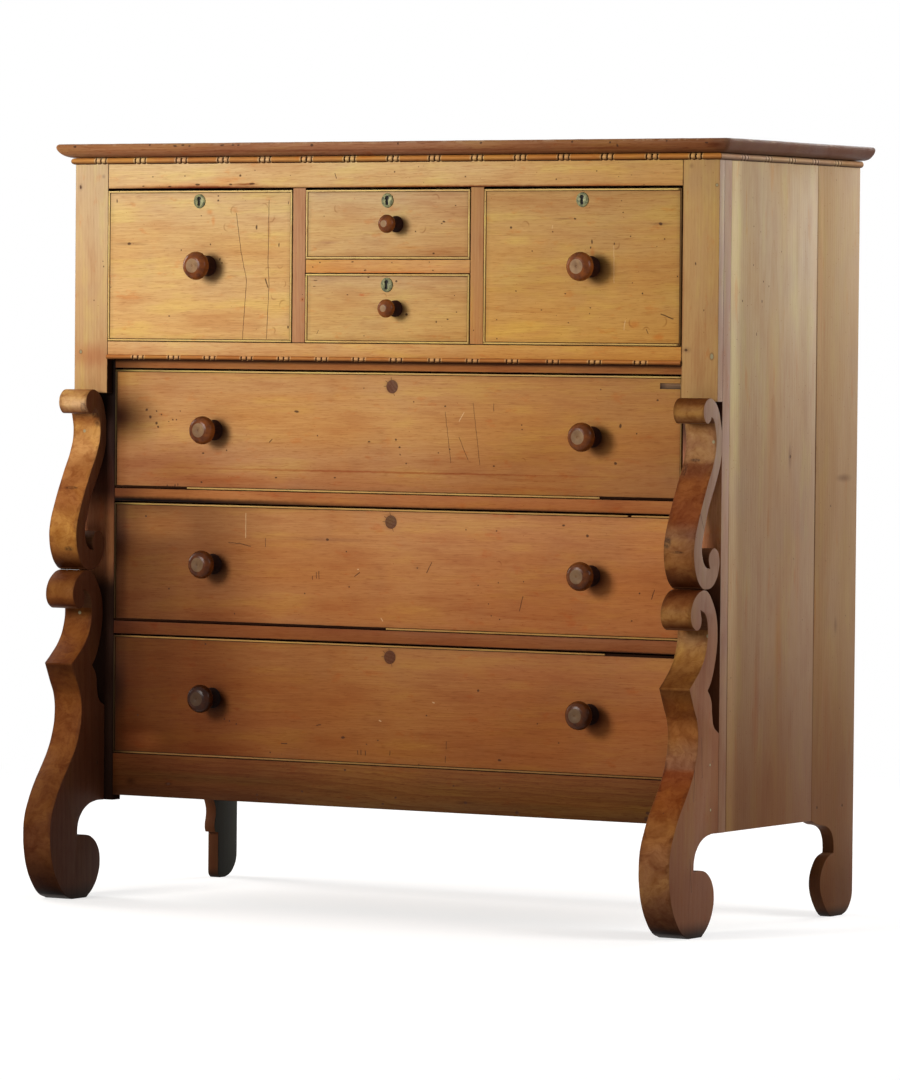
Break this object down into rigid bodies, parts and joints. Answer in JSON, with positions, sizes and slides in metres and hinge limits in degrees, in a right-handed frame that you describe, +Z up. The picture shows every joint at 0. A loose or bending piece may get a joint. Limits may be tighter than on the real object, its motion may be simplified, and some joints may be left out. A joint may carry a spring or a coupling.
{
  "type": "chest of drawers",
  "caption": "Old pine chest of drawers with a deep upper row, long lower drawers, turned knobs and sawn scroll posts that run down into scroll feet.",
  "frame": {"origin": "on the floor, in the middle of the width and of the whole depth from the scroll feet to the back", "axes": "+X to the right along the front, -Y out of the front, +Z up"},
  "size_m": [1.222, 0.591, 1.1982],
  "materials": {
    "honey_pine": "old waxed honey pine, satin",
    "frame_pine": "old waxed pine, reddish on the rails, satin",
    "side_pine": "pale greyish pine panel, satin",
    "top_wood": "red-brown stained wood, satin",
    "scroll_wood": "honey-brown polished wood, semi-gloss",
    "knob_wood": "dark turned wood, polished",
    "inner_pine": "bare unfinished pine, matte",
    "aged_brass": "greenish aged brass, worn satin"
  },
  "bodies": {
    "case": {"top_board": "top_wood", "top_trim_front": "frame_pine", "top_trim_left": "frame_pine", "top_trim_right": "frame_pine", "mid_trim": "frame_pine", "upper_stile_left": "frame_pine", "upper_stile_right": "frame_pine", "frieze_rail": "frame_pine", "lower_frame_rail": "frame_pine", "small_rail": "frame_pine", "partition_left": "frame_pine", "partition_right": "frame_pine", "corner_post_left": "frame_pine", "corner_post_right": "frame_pine", "long_rail_1": "frame_pine", "long_rail_2": "frame_pine", "long_rail_3": "frame_pine", "base_rail": "frame_pine", "side_board_left": "side_pine", "side_board_right": "side_pine", "rear_board_left": "side_pine", "rear_board_right": "side_pine", "back_panel": "inner_pine", "small_dust_board": "inner_pine", "upper_dust_board": "inner_pine", "long_dust_board_1": "inner_pine", "long_dust_board_2": "inner_pine", "long_dust_board_3": "inner_pine", "upper_scroll_left": "scroll_wood", "upper_scroll_right": "scroll_wood", "lower_scroll_left": "scroll_wood", "lower_scroll_right": "scroll_wood"},
    "drawer_upper_left": {"drawer_front_upper_left": "honey_pine", "drawer_box_upper_left": "inner_pine", "knob_upper_left": "knob_wood", "keyhole_plate_upper_left": "aged_brass"},
    "drawer_upper_right": {"drawer_front_upper_right": "honey_pine", "drawer_box_upper_right": "inner_pine", "knob_upper_right": "knob_wood", "keyhole_plate_upper_right": "aged_brass"},
    "drawer_small_upper": {"drawer_front_small_upper": "honey_pine", "drawer_box_small_upper": "inner_pine", "knob_small_upper": "knob_wood", "keyhole_plate_small_upper": "aged_brass"},
    "drawer_small_lower": {"drawer_front_small_lower": "honey_pine", "drawer_box_small_lower": "inner_pine", "knob_small_lower": "knob_wood", "keyhole_plate_small_lower": "aged_brass"},
    "drawer_long_1": {"drawer_front_long_1": "honey_pine", "drawer_box_long_1": "inner_pine", "knob_long_1_left": "knob_wood", "knob_long_1_right": "knob_wood"},
    "drawer_long_2": {"drawer_front_long_2": "honey_pine", "drawer_box_long_2": "inner_pine", "knob_long_2_left": "knob_wood", "knob_long_2_right": "knob_wood"},
    "drawer_long_3": {"drawer_front_long_3": "honey_pine", "drawer_box_long_3": "inner_pine", "knob_long_3_left": "knob_wood", "knob_long_3_right": "knob_wood"}
  },
  "joints": [
    {"name": "slide_upper_left", "type": "slide", "parent": "case", "child": "drawer_upper_left", "axis": [0, -1, 0], "range_m": [0, 0.3]},
    {"name": "slide_upper_right", "type": "slide", "parent": "case", "child": "drawer_upper_right", "axis": [0, -1, 0], "range_m": [0, 0.3]},
    {"name": "slide_small_upper", "type": "slide", "parent": "case", "child": "drawer_small_upper", "axis": [0, -1, 0], "range_m": [0, 0.3]},
    {"name": "slide_small_lower", "type": "slide", "parent": "case", "child": "drawer_small_lower", "axis": [0, -1, 0], "range_m": [0, 0.3]},
    {"name": "slide_long_1", "type": "slide", "parent": "case", "child": "drawer_long_1", "axis": [0, -1, 0], "range_m": [0, 0.3]},
    {"name": "slide_long_2", "type": "slide", "parent": "case", "child": "drawer_long_2", "axis": [0, -1, 0], "range_m": [0, 0.3]},
    {"name": "slide_long_3", "type": "slide", "parent": "case", "child": "drawer_long_3", "axis": [0, -1, 0], "range_m": [0, 0.3]}
  ]
}
